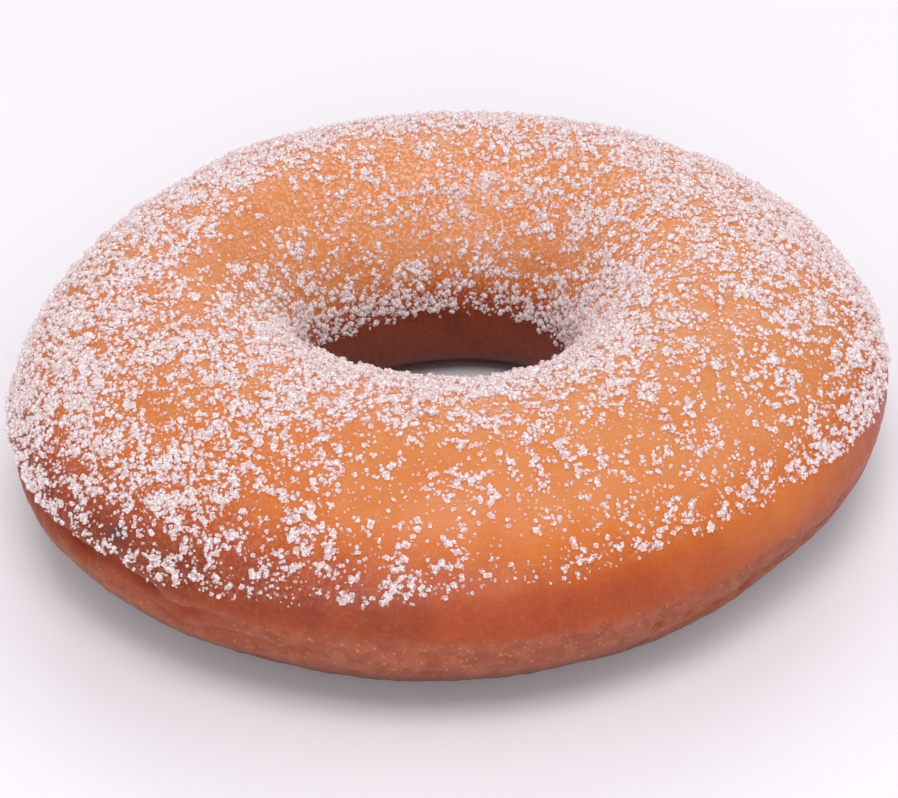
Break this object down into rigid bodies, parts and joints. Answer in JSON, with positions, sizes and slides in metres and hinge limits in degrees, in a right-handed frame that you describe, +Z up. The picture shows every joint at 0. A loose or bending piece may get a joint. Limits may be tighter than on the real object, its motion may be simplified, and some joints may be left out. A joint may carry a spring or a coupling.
{
  "type": "ring doughnut",
  "caption": "Sugared ring doughnut of yeast dough, domed on top and flat underneath, with an open hole through its middle.",
  "frame": {"origin": "under the middle of the ring's length and width, level with the flat base it rests on", "axes": "+Z up, out of the domed top; +X along the longer way across the ring; +Y across it, with the thick side of the ring at -Y"},
  "size_m": [0.0946, 0.0878, 0.0255],
  "materials": {
    "crust": "satin",
    "sugar": "gloss"
  },
  "bodies": {
    "root": {"dough_ring": "crust"}
  },
  "joints": []
}
